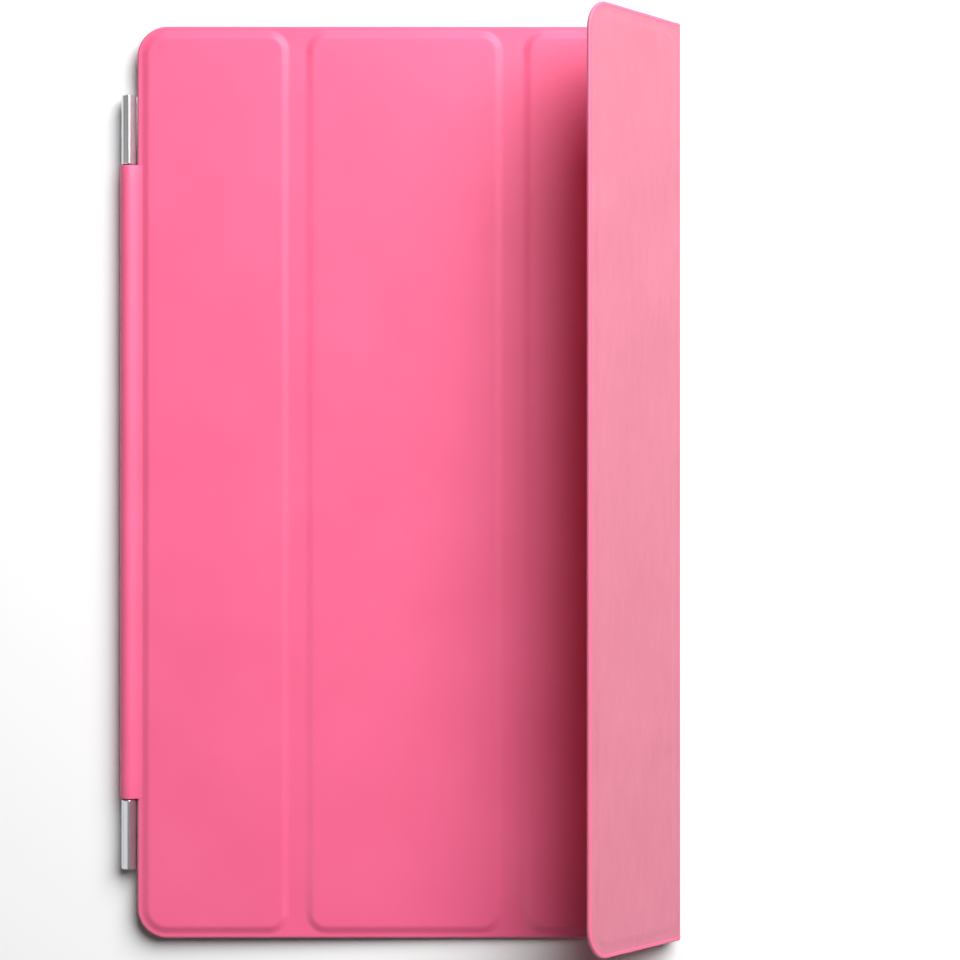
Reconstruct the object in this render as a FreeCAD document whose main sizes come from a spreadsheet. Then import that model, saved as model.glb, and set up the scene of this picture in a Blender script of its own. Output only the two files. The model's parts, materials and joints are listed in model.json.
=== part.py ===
import FreeCAD, Part
import math
import os
import Sketcher

# Fold-over cover for a 9.7 inch tablet: four stiffened panels, three soft creases and an
# aluminium spine that clips to the tablet's long edge by magnets. Millimetres, +Z up.
# Every flat piece is drawn unrolled: x runs from the hinge axis across the panels, y along the
# hinge, and z up from the lining's face. A Placement then tilts the flap and folds its last panel.

driving_sizes = {
    "flap_height": 241.2,
    "pad_1_width": 35.95,
    "pad_2_width": 50.0,
    "pad_3_width": 35.5,
    "pad_4_width": 37.7,
    "crease_width": 7.5,
    "rim": 2.2,
    "corner_radius": 8.0,
    "pad_corner": 4.5,
    "pad_edge_round": 0.35,
    "lining_thickness": 0.4,
    "flange_thickness": 0.9,
    "pad_rise": 0.7,
    "board_thickness": 1.1,
    "board_wall": 0.8,
    "split_gap": 0.15,
    "flap_lift": 0.15,
    "wrap_radius": 2.35,
    "wrap_thickness": 0.4,
    "tube_wall": 0.6,
    "bush_length": 6.0,
    "pin_radius": 0.7,
    "pin_clearance": 0.05,
    "pin_inset": 1.0,
    "hinge_end_gap": 0.2,
    "lug_step": 0.35,
    "lug_length": 18.4,
    "lug_inset": 18.2,
    "lug_foot_height": 1.8,
    "bar_clearance": 0.15,
    "bar_depth": 1.4,
    "bar_height": 3.2,
    "bar_drop": 0.2,
    "bar_end_round": 0.6,
    "channel_wall": 0.4,
    "channel_rim": 0.5,
    "channel_end_wall": 7.0,
    "backing_thickness": 0.3,
    "cover_strip_thickness": 0.3,
    "spine_magnet_length": 20.0,
    "spine_magnet_end_gap": 5.0,
    "spine_magnet_count": 8,
    "edge_magnet_width": 5.0,
    "edge_magnet_length": 18.0,
    "edge_magnet_end_gap": 24.0,
    "edge_magnet_count": 6,
    "edge_magnet_margin": 3.0,
    "magnet_fit": 0.1,
    "sensor_magnet_radius": 4.0,
    "sensor_magnet_margin": 9.0,
    "fold_angle": 63.5,
}

document = FreeCAD.newDocument("TabletCover")
sheet = document.addObject("Spreadsheet::Sheet", "sizes")
for row, (alias, size) in enumerate(driving_sizes.items(), start=1):
    sheet.set(f"A{row}", alias)
    sheet.set(f"B{row}", str(size))
    sheet.setAlias(f"B{row}", alias)
document.recompute()

sub_parts = []


def cell(name):
    return f"sizes.{name}"


def add(*terms):
    return "(" + " + ".join(terms) + ")"


def less(first, *terms):
    return "(" + " - ".join((first,) + terms) + ")"


def number(expression):
    return float(sheet.evalExpression(expression))


# ---- where the panels and creases lie across the unrolled flap, as expressions ----

pad_left = {}
pad_right = {}
station = add(cell("wrap_radius"), cell("rim"))
for panel in (1, 2, 3, 4):
    pad_left[panel] = station
    pad_right[panel] = add(station, cell(f"pad_{panel}_width"))
    station = add(pad_right[panel], cell("crease_width"))

# A crease bends along two lines, a quarter of its width in from each side.
quarter_crease = f"{cell('crease_width')} / 4"
near_bend = {crease: add(pad_right[crease], quarter_crease) for crease in (1, 2, 3)}
far_bend = {crease: less(pad_left[crease + 1], quarter_crease) for crease in (1, 2, 3)}

flange_left = {1: cell("wrap_radius")}
flange_right = {4: add(pad_right[4], cell("rim"))}
for crease in (1, 2, 3):
    flange_right[crease] = less(near_bend[crease], cell("split_gap"))
    flange_left[crease + 1] = add(far_bend[crease], cell("split_gap"))

half_height = f"{cell('flap_height')} / 2"
pad_half_height = less(half_height, cell("rim"))
flange_top = add(cell("lining_thickness"), cell("flange_thickness"))
pad_top = add(flange_top, cell("pad_rise"))


# ---- placements ----

def turned(angle, x, z):
    """Rotation about a line along +Y through (x, z), by an angle in degrees."""
    centre = FreeCAD.Vector(x, 0, z)
    return FreeCAD.Placement(FreeCAD.Vector(), FreeCAD.Rotation(FreeCAD.Vector(0, 1, 0), angle), centre)


# The flap's lining sits a little above the hinge axis. Off the tablet, the cover rests on the
# bottom of its spine and on the lining edge beside the last crease, so the whole flap tilts.
lift = number(cell("flap_lift"))
spine_bottom = number(add(cell("bar_drop"), cell("bar_height")))
rest_edge = number(flange_right[3])
tilt = math.degrees(math.asin(spine_bottom / math.hypot(rest_edge, lift)) + math.atan2(lift, rest_edge))
flap_place = turned(tilt, 0, 0) * FreeCAD.Placement(FreeCAD.Vector(0, 0, lift), FreeCAD.Rotation())

# The last crease is folded outwards, the same angle at each of its two bend lines.
bend_level = number(flange_top)
fold_angle = number(cell("fold_angle"))
last_crease_place = flap_place * turned(-fold_angle, number(near_bend[3]), bend_level)
last_panel_place = last_crease_place * turned(-fold_angle, number(far_bend[3]), bend_level)

spine_place = FreeCAD.Placement()
panel_place = {1: flap_place, 2: flap_place, 3: flap_place, 4: last_panel_place}
crease_place = {1: flap_place, 2: flap_place, 3: last_crease_place}


def keep(feature, label, placement):
    feature.Label = label
    feature.Placement = placement
    sub_parts.append(feature)
    return feature


# ---- PartDesign helpers ----

def origin_feature(body, role):
    return next(feature for feature in body.Origin.OriginFeatures if feature.Role == role)


def outline_sketch(body, name, left, right, half, level, left_radius=None, right_radius=None):
    """Rectangle centred on the x axis at height level, with its left or right corners rounded."""
    sketch = body.newObject("Sketcher::SketchObject", name)
    sketch.AttachmentSupport = [(origin_feature(body, "XY_Plane"), "")]
    sketch.MapMode = "FlatFace"
    sketch.setExpression("AttachmentOffset.Base.z", level)
    x0, x1, y1 = number(left), number(right), number(half)
    r0 = number(left_radius) if left_radius else 0.0
    r1 = number(right_radius) if right_radius else 0.0
    sides = [
        ((x0 + r0, -y1), (x1 - r1, -y1)),
        ((x1, -y1 + r1), (x1, y1 - r1)),
        ((x1 - r1, y1), (x0 + r0, y1)),
        ((x0, y1 - r0), (x0, -y1 + r0)),
    ]
    for start, end in sides:
        sketch.addGeometry(Part.LineSegment(FreeCAD.Vector(*start, 0), FreeCAD.Vector(*end, 0)))
    corners = [
        (right_radius, x1 - r1, -y1 + r1, -0.5 * math.pi),
        (right_radius, x1 - r1, y1 - r1, 0.0),
        (left_radius, x0 + r0, y1 - r0, 0.5 * math.pi),
        (left_radius, x0 + r0, -y1 + r0, math.pi),
    ]
    for side, (radius, x, y, start_angle) in enumerate(corners):
        following = (side + 1) % 4
        if not radius:
            sketch.addConstraint(Sketcher.Constraint("Coincident", side, 2, following, 1))
            continue
        circle = Part.Circle(FreeCAD.Vector(x, y, 0), FreeCAD.Vector(0, 0, 1), number(radius))
        arc = sketch.addGeometry(Part.ArcOfCircle(circle, start_angle, start_angle + 0.5 * math.pi))
        sketch.addConstraint(Sketcher.Constraint("Tangent", side, 2, arc, 1))
        sketch.addConstraint(Sketcher.Constraint("Tangent", arc, 2, following, 1))
        bound = sketch.addConstraint(Sketcher.Constraint("Radius", arc, number(radius)))
        sketch.setExpression(f"Constraints[{bound}]", radius)
    for side, direction in enumerate(("Horizontal", "Vertical", "Horizontal", "Vertical")):
        sketch.addConstraint(Sketcher.Constraint(direction, side))
    dimensions = [
        (("DistanceX", -1, 1, 3, 1, x0), left),
        (("DistanceX", -1, 1, 1, 1, x1), right),
        (("DistanceY", -1, 1, 2, 1, y1), half),
        (("DistanceY", 0, 1, -1, 1, y1), half),
    ]
    for constraint, expression in dimensions:
        bound = sketch.addConstraint(Sketcher.Constraint(*constraint))
        sketch.setExpression(f"Constraints[{bound}]", expression)
    return sketch


def pad(body, name, sketch, length):
    feature = body.newObject("PartDesign::Pad", name)
    feature.Profile = sketch
    feature.setExpression("Length", length)
    return feature


def pocket_upwards(body, name, sketch, length):
    """Cut from the sketch upwards, and make sure that something was cut."""
    document.recompute()
    before = body.Shape.Volume
    feature = body.newObject("PartDesign::Pocket", name)
    feature.Profile = sketch
    feature.setExpression("Length", length)
    feature.Reversed = True
    document.recompute()
    if body.Shape.Volume >= before:
        raise ValueError(f"{body.Label}: {name} cuts nothing")
    return feature


def round_top_edge(body, base, level, radius):
    document.recompute()
    height = number(level)
    edges = []
    for index, edge in enumerate(base.Shape.Edges, start=1):
        box = edge.BoundBox
        if math.isclose(box.ZMin, height, abs_tol=1e-4) and math.isclose(box.ZMax, height, abs_tol=1e-4):
            edges.append(f"Edge{index}")
    fillet = body.newObject("PartDesign::Fillet", "top_round")
    fillet.Base = (base, edges)
    fillet.setExpression("Radius", radius)
    return fillet


def plate(label, placement, left, right, half, level, thickness, left_radius=None, right_radius=None):
    body = document.addObject("PartDesign::Body", label)
    sketch = outline_sketch(body, "outline", left, right, half, level, left_radius, right_radius)
    pad(body, "plate", sketch, thickness)
    return keep(body, label, placement)


# ---- the flap's soft layers and stiffening boards ----

# Between the middles of the first and last magnets in a board.
edge_row_length = less(
    f"2 * {less(pad_half_height, cell('board_wall'), cell('edge_magnet_end_gap'))}",
    cell("edge_magnet_length"),
)

def panel_corner_radii(panel):
    corner = cell("corner_radius")
    return (corner if panel == 1 else None, corner if panel == 4 else None)


def make_panel_skin(panel):
    """Outer skin: a thin flange all round, a raised pad, and a hollow below it for the board."""
    label = f"panel_{panel}_skin"
    left_radius, right_radius = panel_corner_radii(panel)
    body = document.addObject("PartDesign::Body", label)
    flange = outline_sketch(
        body, "flange_outline", flange_left[panel], flange_right[panel], half_height,
        cell("lining_thickness"), left_radius, right_radius,
    )
    pad(body, "flange", flange, cell("flange_thickness"))
    raised = outline_sketch(
        body, "pad_outline", pad_left[panel], pad_right[panel], pad_half_height,
        flange_top, cell("pad_corner"), cell("pad_corner"),
    )
    raised_pad = pad(body, "raised_pad", raised, cell("pad_rise"))
    round_top_edge(body, raised_pad, pad_top, cell("pad_edge_round"))
    hollow = board_outline(body, panel, "board_hollow_outline")
    pocket_upwards(body, "board_hollow", hollow, cell("board_thickness"))
    keep(body, label, panel_place[panel])


def board_outline(body, panel, name):
    wall = cell("board_wall")
    corner = less(cell("pad_corner"), wall)
    return outline_sketch(
        body, name, add(pad_left[panel], wall), less(pad_right[panel], wall),
        less(pad_half_height, wall), cell("lining_thickness"), corner, corner,
    )


def make_board(panel, magnet_slot_centre=None):
    """Stiffening board, with a row of slots where it holds magnets or their keeper plates."""
    label = f"panel_{panel}_board"
    body = document.addObject("PartDesign::Body", label)
    pad(body, "board", board_outline(body, panel, "outline"), cell("board_thickness"))
    if magnet_slot_centre:
        cut_magnet_slots(body, magnet_slot_centre)
    if panel == 4:
        cut_sensor_hole(body)
    keep(body, label, panel_place[panel])


def cut_magnet_slots(body, centre):
    half_width = f"{cell('edge_magnet_width')} / 2"
    half_length = f"{cell('edge_magnet_length')} / 2"
    fit = cell("magnet_fit")
    slot = outline_sketch(
        body, "slot_outline", less(centre, half_width, fit), add(centre, half_width, fit),
        add(half_length, fit), cell("lining_thickness"),
    )
    slot.setExpression("AttachmentOffset.Base.y", f"-{edge_row_length} / 2")
    pocket = pocket_upwards(body, "slot", slot, cell("board_thickness"))
    row = body.newObject("PartDesign::LinearPattern", "slot_row")
    row.Originals = [pocket]
    row.Direction = (origin_feature(body, "Y_Axis"), [""])
    row.setExpression("Length", edge_row_length)
    row.setExpression("Occurrences", cell("edge_magnet_count"))
    body.Tip = row
    document.recompute()


def sensor_centre():
    x = number(less(pad_right[4], cell("sensor_magnet_margin")))
    y = number(less(pad_half_height, cell("sensor_magnet_margin")))
    return x, y


def cut_sensor_hole(body):
    x, y = sensor_centre()
    sketch = body.newObject("Sketcher::SketchObject", "sensor_outline")
    sketch.AttachmentSupport = [(origin_feature(body, "XY_Plane"), "")]
    sketch.MapMode = "FlatFace"
    sketch.setExpression("AttachmentOffset.Base.z", cell("lining_thickness"))
    radius = add(cell("sensor_magnet_radius"), cell("magnet_fit"))
    circle = Part.Circle(FreeCAD.Vector(x, y, 0), FreeCAD.Vector(0, 0, 1), number(radius))
    sketch.addGeometry(circle)
    bindings = [
        (("Radius", 0, number(radius)), radius),
        (("DistanceX", -1, 1, 0, 3, x), less(pad_right[4], cell("sensor_magnet_margin"))),
        (("DistanceY", -1, 1, 0, 3, y), less(pad_half_height, cell("sensor_magnet_margin"))),
    ]
    for constraint, expression in bindings:
        bound = sketch.addConstraint(Sketcher.Constraint(*constraint))
        sketch.setExpression(f"Constraints[{bound}]", expression)
    pocket = pocket_upwards(body, "sensor_hole", sketch, cell("board_thickness"))
    body.Tip = pocket


def make_magnet_row(label, panel, centre):
    """Flat blocks in a row along the hinge direction, one in each slot of a board."""
    count = int(number(cell("edge_magnet_count")))
    pitch = number(edge_row_length) / (count - 1)
    width = number(cell("edge_magnet_width"))
    length = number(cell("edge_magnet_length"))
    blocks = []
    for index in range(count):
        block = document.addObject("Part::Box", f"{label}_block_{index + 1}")
        block.setExpression("Length", cell("edge_magnet_width"))
        block.setExpression("Width", cell("edge_magnet_length"))
        block.setExpression("Height", cell("board_thickness"))
        y = (index - (count - 1) / 2) * pitch - length / 2
        corner = FreeCAD.Vector(number(centre) - width / 2, y, number(cell("lining_thickness")))
        block.Placement = FreeCAD.Placement(corner, FreeCAD.Rotation())
        blocks.append(block)
    group = document.addObject("Part::Compound", label)
    group.Links = blocks
    keep(group, label, panel_place[panel])


def make_sensor_magnet():
    x, y = sensor_centre()
    disc = document.addObject("Part::Cylinder", "sensor_magnet")
    disc.setExpression("Radius", cell("sensor_magnet_radius"))
    disc.setExpression("Height", cell("board_thickness"))
    centre = FreeCAD.Placement(
        FreeCAD.Vector(x, y, number(cell("lining_thickness"))), FreeCAD.Rotation()
    )
    keep(disc, "sensor_magnet", panel_place[4] * centre)


# Folded into a stand, the last panel's magnets lie on the keeper plates of the first panel.
edge_magnet_centre = less(
    pad_right[4], cell("board_wall"), cell("edge_magnet_margin"), f"{cell('edge_magnet_width')} / 2"
)
keeper_centre = add(
    pad_left[1], cell("board_wall"), cell("edge_magnet_margin"), f"{cell('edge_magnet_width')} / 2"
)

magnet_slots = {1: keeper_centre, 4: edge_magnet_centre}
for panel in (1, 2, 3, 4):
    left_radius, right_radius = panel_corner_radii(panel)
    make_panel_skin(panel)
    make_board(panel, magnet_slots.get(panel))
    plate(
        f"panel_{panel}_lining", panel_place[panel], flange_left[panel], flange_right[panel],
        half_height, "0", cell("lining_thickness"), left_radius, right_radius,
    )
make_magnet_row("keeper_plates", 1, keeper_centre)
make_magnet_row("edge_magnets", 4, edge_magnet_centre)
make_sensor_magnet()

for crease in (1, 2, 3):
    left = add(near_bend[crease], cell("split_gap"))
    right = less(far_bend[crease], cell("split_gap"))
    plate(
        f"crease_{crease}_skin", crease_place[crease], left, right, half_height,
        cell("lining_thickness"), cell("flange_thickness"),
    )
    plate(
        f"crease_{crease}_lining", crease_place[crease], left, right, half_height,
        "0", cell("lining_thickness"),
    )


# ---- the hinge: tube and wrap on the first panel, lugs and pin on the spine ----

spine_half_length = less(half_height, cell("lug_inset"))
lug_start = less(spine_half_length, cell("lug_length"))
half_tube = less(lug_start, cell("hinge_end_gap"))
tube_length = f"2 * {half_tube}"
lug_radius = less(cell("wrap_radius"), cell("lug_step"))
bar_offset = add(cell("wrap_radius"), cell("bar_clearance"))
tube_radius = less(cell("wrap_radius"), cell("wrap_thickness"))
bush_radius = less(tube_radius, cell("tube_wall"))
bush_bore = add(cell("pin_radius"), cell("pin_clearance"))


def rod(name, radius, start, length):
    """Cylinder along the hinge axis from y = start."""
    cylinder = document.addObject("Part::Cylinder", name)
    cylinder.setExpression("Radius", radius)
    cylinder.setExpression("Height", length)
    along_hinge = FreeCAD.Rotation(FreeCAD.Vector(1, 0, 0), -90)
    cylinder.Placement = FreeCAD.Placement(FreeCAD.Vector(0, number(start), 0), along_hinge)
    return cylinder


def block(name, corner, length, width, height):
    """Box with its lowest corner at three expressions, sized along x, y and z."""
    box = document.addObject("Part::Box", name)
    box.setExpression("Length", length)
    box.setExpression("Width", width)
    box.setExpression("Height", height)
    place = FreeCAD.Vector(*(number(value) for value in corner))
    box.Placement = FreeCAD.Placement(place, FreeCAD.Rotation())
    return box


def cut(name, base, tool):
    result = document.addObject("Part::Cut", name)
    result.Base = base
    result.Tool = tool
    return result


def fuse(name, *shapes):
    result = document.addObject("Part::MultiFuse", name)
    result.Shapes = list(shapes)
    return result


def minus(expression):
    return f"-({expression})"


def make_tube_and_bushes():
    start = minus(half_tube)
    length = tube_length
    tube = cut(
        "hinge_tube", rod("tube_outside", tube_radius, start, length),
        rod("tube_inside", bush_radius, start, length),
    )
    keep(tube, "hinge_tube", flap_hinge_place)
    bush_starts = {"upper_bush": less(half_tube, cell("bush_length")), "lower_bush": start}
    for label, bush_start in bush_starts.items():
        bush = cut(
            label, rod(f"{label}_outside", bush_radius, bush_start, cell("bush_length")),
            rod(f"{label}_bore", bush_bore, bush_start, cell("bush_length")),
        )
        keep(bush, label, flap_hinge_place)


def make_tube_wrap():
    """The skin rolled round the tube, and the web that joins it to the first panel."""
    start = minus(half_tube)
    length = tube_length
    web = block(
        "wrap_web", ("0", start, cell("flap_lift")), cell("wrap_radius"), length, flange_top,
    )
    solid = fuse("wrap_solid", rod("wrap_outside", cell("wrap_radius"), start, length), web)
    wrap = cut("tube_wrap", solid, rod("wrap_inside", tube_radius, start, length))
    keep(wrap, "tube_wrap", flap_hinge_place)


def make_lug(label, start):
    foot_bottom = minus(add(cell("bar_drop"), cell("lug_foot_height")))
    foot = block(
        f"{label}_foot", ("0", start, foot_bottom), bar_offset, cell("lug_length"),
        cell("lug_foot_height"),
    )
    solid = fuse(
        f"{label}_solid", rod(f"{label}_barrel", lug_radius, start, cell("lug_length")), foot,
    )
    bore = rod(f"{label}_bore", cell("pin_radius"), start, cell("lug_length"))
    lug = cut(label, solid, bore)
    keep(lug, label, spine_place)


def make_pin():
    start = less(spine_half_length, cell("pin_inset"))
    pin = rod("hinge_pin", cell("pin_radius"), minus(start), f"2 * {start}")
    keep(pin, "hinge_pin", pin.Placement)


# ---- the spine: a bar with a magnet channel, closed by a soft strip that meets the tablet ----

bar_bottom = minus(add(cell("bar_drop"), cell("bar_height")))
channel_left = add(bar_offset, cell("channel_wall"))
channel_bottom = add(bar_bottom, cell("channel_rim"))
channel_height = less(cell("bar_height"), f"2 * {cell('channel_rim')}")
channel_depth = less(cell("bar_depth"), cell("channel_wall"))
channel_half = less(spine_half_length, cell("channel_end_wall"))


def make_spine_bar():
    body = document.addObject("PartDesign::Body", "spine_bar")
    sketch = outline_sketch(
        body, "bar_outline", bar_offset, add(bar_offset, cell("bar_depth")),
        spine_half_length, bar_bottom, cell("bar_end_round"),
    )
    pad(body, "bar", sketch, cell("bar_height"))
    channel = outline_sketch(
        body, "channel_outline", channel_left, add(channel_left, channel_depth),
        channel_half, channel_bottom,
    )
    pocket_upwards(body, "magnet_channel", channel, channel_height)
    keep(body, "spine_bar", spine_place)


def make_spine_strips():
    backing = block(
        "magnet_backing", (channel_left, minus(channel_half), channel_bottom),
        cell("backing_thickness"), f"2 * {channel_half}", channel_height,
    )
    keep(backing, "magnet_backing", backing.Placement)
    face = add(bar_offset, cell("bar_depth"))
    cover = block(
        "magnet_cover_strip", (face, minus(spine_half_length), bar_bottom),
        cell("cover_strip_thickness"), f"2 * {spine_half_length}", cell("bar_height"),
    )
    keep(cover, "magnet_cover_strip", cover.Placement)


def make_spine_magnets():
    count = int(number(cell("spine_magnet_count")))
    length = number(cell("spine_magnet_length"))
    row_length = 2 * number(less(channel_half, cell("spine_magnet_end_gap"))) - length
    pitch = row_length / (count - 1)
    magnets = []
    for index in range(count):
        start = (index - (count - 1) / 2) * pitch - length / 2
        magnet = block(
            f"spine_magnet_{index + 1}",
            (add(channel_left, cell("backing_thickness")), str(start), channel_bottom),
            less(channel_depth, cell("backing_thickness")), cell("spine_magnet_length"), channel_height,
        )
        magnets.append(magnet)
    group = document.addObject("Part::Compound", "spine_magnets")
    group.Links = magnets
    keep(group, "spine_magnets", spine_place)


# The tube and its wrap turn with the flap, about the hinge axis.
flap_hinge_place = turned(tilt, 0, 0)
make_tube_and_bushes()
make_tube_wrap()
make_lug("upper_lug", lug_start)
make_lug("lower_lug", minus(spine_half_length))
make_pin()
make_spine_bar()
make_spine_strips()
make_spine_magnets()

# ---- the origin goes to the middle of the underside ----

document.recompute()
whole = FreeCAD.BoundBox()
for sub_part in sub_parts:
    whole.add(sub_part.Shape.optimalBoundingBox())
shift = FreeCAD.Vector(-whole.Center.x, -whole.Center.y, -whole.ZMin)
for sub_part in sub_parts:
    sub_part.Placement.Base = sub_part.Placement.Base + shift
document.recompute()

for item in document.Objects:
    if "Invalid" in item.State or "Error" in item.State:
        raise ValueError(f"{item.Label} did not compute: {item.State}")
for sub_part in sub_parts:
    if sub_part.Shape.isNull() or not sub_part.Shape.isValid():
        raise ValueError(f"{sub_part.Label} has no valid shape")

os.makedirs("parts", exist_ok=True)
for sub_part in sub_parts:
    sub_part.Shape.exportStep(f"parts/{sub_part.Label}.step")

print(f"{len(sub_parts)} sub-parts, flap tilt {tilt:.4f} degrees")
print(f"hinge axis at x {shift.x:.4f}, y {shift.y:.4f}, z {shift.z:.4f}")
for crease in (1, 2, 3):
    for side, bend in (("near", near_bend), ("far", far_bend)):
        line = FreeCAD.Vector(number(bend[crease]), 0, bend_level)
        place = last_crease_place if (crease, side) == (3, "far") else flap_place
        point = place.multVec(line) + shift
        print(f"crease {crease} {side} bend at x {point.x:.4f}, z {point.z:.4f}")
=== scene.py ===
import bpy, bmesh
import json, math
import numpy as np
from mathutils import Matrix, Vector


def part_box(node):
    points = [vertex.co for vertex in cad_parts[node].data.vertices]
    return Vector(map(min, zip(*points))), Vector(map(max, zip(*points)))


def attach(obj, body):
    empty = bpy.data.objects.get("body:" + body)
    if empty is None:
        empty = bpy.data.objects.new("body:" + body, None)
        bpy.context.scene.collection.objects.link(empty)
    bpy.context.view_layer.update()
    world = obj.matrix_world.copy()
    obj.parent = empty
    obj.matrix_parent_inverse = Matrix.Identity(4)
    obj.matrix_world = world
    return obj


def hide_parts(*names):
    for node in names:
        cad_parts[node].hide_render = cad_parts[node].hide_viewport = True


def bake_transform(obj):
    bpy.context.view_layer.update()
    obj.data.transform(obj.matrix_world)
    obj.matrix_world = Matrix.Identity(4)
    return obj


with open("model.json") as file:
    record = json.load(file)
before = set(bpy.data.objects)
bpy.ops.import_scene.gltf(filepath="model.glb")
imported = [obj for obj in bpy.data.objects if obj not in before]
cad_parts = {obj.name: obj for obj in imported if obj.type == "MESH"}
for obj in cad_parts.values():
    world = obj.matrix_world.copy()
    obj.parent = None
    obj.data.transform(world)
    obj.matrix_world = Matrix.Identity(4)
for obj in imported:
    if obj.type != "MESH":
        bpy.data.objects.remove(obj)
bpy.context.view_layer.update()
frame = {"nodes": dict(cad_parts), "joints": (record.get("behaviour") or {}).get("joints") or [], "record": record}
scene = bpy.context.scene
joints = {joint["name"]: joint for joint in frame["joints"]}
mm = 0.001

# The flap has its own axes, read from the hinge and the bend lines. Soft pieces are made unrolled:
# u across the flap from the hinge, v along it, w up from the lining.
flap = {
    "flangeTop": 1.3 * mm,      # top of the skin over the rim and the creases
    "rim": 2.2 * mm,            # flat border outside the raised pads
    "cornerRadius": 8.0 * mm,   # the four outer corners
    "padCorner": 4.5 * mm,      # the pads' corners beside a crease
}


def jointPoint(name):
    return np.array(joints[name]["pos_m"], float)


def bendPoint(crease, side):
    return jointPoint(f"crease_{crease}_{side}_bend")


hinge = jointPoint("spine_hinge")
across = bendPoint(3, "left") - bendPoint(1, "left")
across /= np.linalg.norm(across)
outward = np.array([-across[2], 0.0, across[0]])
along = np.array([0.0, 1.0, 0.0])
lift = float(outward @ (bendPoint(1, "left") - hinge)) - flap["flangeTop"]

lastLink = bendPoint(3, "right") - bendPoint(3, "left")
restFold = math.acos(float(across @ lastLink) / float(np.linalg.norm(lastLink)))
bendAt = {}
for crease in (1, 2, 3):
    for side in ("left", "right"):
        bendAt[crease, side] = float(across @ (bendPoint(crease, side) - hinge))
bendAt[3, "right"] = bendAt[3, "left"] + float(np.linalg.norm(lastLink))
quarter = 0.5 * (bendAt[1, "right"] - bendAt[1, "left"])


# (u, w) turned about the bend line at centre, lifting what lies to its right.
def turned(u, w, centre, angle):
    du, dw = u - centre, w - flap["flangeTop"]
    cosine, sine = np.cos(angle), np.sin(angle)
    return centre + du * cosine - dw * sine, flap["flangeTop"] + du * sine + dw * cosine


# Unrolled points in the row frame, after the folds at the last crease's two bend lines.
def inRow(u, v, w, firstFold=0.0, secondFold=0.0):
    u, w = turned(u, w, bendAt[3, "right"], secondFold)
    u, w = turned(u, w, bendAt[3, "left"], firstFold)
    return hinge + np.outer(u, across) + np.outer(v, along) + np.outer(w + lift, outward)


# The free edge's place across the flap, from the folded end panel.
def unrolledEnd():
    points = np.array([vertex.co for vertex in frame["nodes"]["panel_4_skin"].data.vertices], float)
    u, w = (points - hinge) @ across, (points - hinge) @ outward - lift
    u, w = turned(u, w, bendAt[3, "left"], -restFold)
    u, w = turned(u, w, bendAt[3, "right"], -restFold)
    return float(u.max())


lowest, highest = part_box("panel_2_skin")
halfHeight = 0.5 * (highest.y - lowest.y)
wrapLow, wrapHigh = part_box("tube_wrap")
wrapRadius = float(hinge[0] - wrapLow.x)
wrapHalf = 0.5 * (wrapHigh.y - wrapLow.y)
flapEnd = unrolledEnd()
padLeft = {1: wrapRadius + flap["rim"]}
padRight = {4: flapEnd - flap["rim"]}
for crease in (1, 2, 3):
    padRight[crease] = bendAt[crease, "left"] - quarter
    padLeft[crease + 1] = bendAt[crease, "right"] + quarter
print(f"flap from {wrapRadius / mm:.2f} to {flapEnd / mm:.2f} mm,",
      f"folded {math.degrees(restFold):.1f} degrees")


# Short ways to write node trees
def node(tree, kind, **values):
    made = tree.nodes.new(kind)
    for name, value in values.items():
        setattr(made, name, value)
    return made


def joinUp(tree, *pairs):
    for source, target in pairs:
        tree.links.new(source, target)


def newGroup(name, inputs, outputs):
    tree = bpy.data.node_groups.new(name, "ShaderNodeTree")
    for label, kind, value in inputs:
        socket = tree.interface.new_socket(label, in_out="INPUT", socket_type=kind)
        if value is not None:
            socket.default_value = value
    for label, kind in outputs:
        tree.interface.new_socket(label, in_out="OUTPUT", socket_type=kind)
    return tree, tree.nodes.new("NodeGroupInput"), tree.nodes.new("NodeGroupOutput")


def math2(tree, operation, first, second=None):
    made = node(tree, "ShaderNodeMath", operation=operation)
    for index, value in enumerate((first, second)):
        if value is None:
            continue
        if isinstance(value, (int, float)):
            made.inputs[index].default_value = value
        else:
            tree.links.new(value, made.inputs[index])
    return made.outputs[0]


def noise(tree, coordinate, scale, detail, roughness):
    made = node(tree, "ShaderNodeTexNoise")
    made.inputs["Detail"].default_value = detail
    made.inputs["Roughness"].default_value = roughness
    made.inputs["Scale"].default_value = scale
    tree.links.new(coordinate, made.inputs["Vector"])
    return made.outputs["Fac"]


# Fine moulded grain: small rounded pebbles with creases between them, and a faint slow swell.
def pebbleGroup():
    tree, given, out = newGroup(
        "pebbleGrain",
        [("Position", "NodeSocketVector", None), ("Pebbles", "NodeSocketFloat", 2400.0)],
        [("Height", "NodeSocketFloat"), ("Tone", "NodeSocketFloat")],
    )
    cells = node(tree, "ShaderNodeTexVoronoi", feature="SMOOTH_F1")
    cells.inputs["Smoothness"].default_value = 0.6
    cells.inputs["Randomness"].default_value = 0.9
    joinUp(tree, (given.outputs["Position"], cells.inputs["Vector"]),
           (given.outputs["Pebbles"], cells.inputs["Scale"]))
    swell = noise(tree, given.outputs["Position"], 900.0, 3.0, 0.55)
    drift = noise(tree, given.outputs["Position"], 38.0, 3.0, 0.5)
    pebble = math2(tree, "SUBTRACT", 1.0, cells.outputs["Distance"])
    height = math2(tree, "ADD", math2(tree, "MULTIPLY", pebble, 0.7), math2(tree, "MULTIPLY", swell, 0.6))
    joinUp(tree, (height, out.inputs["Height"]), (drift, out.inputs["Tone"]))
    return tree


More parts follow.
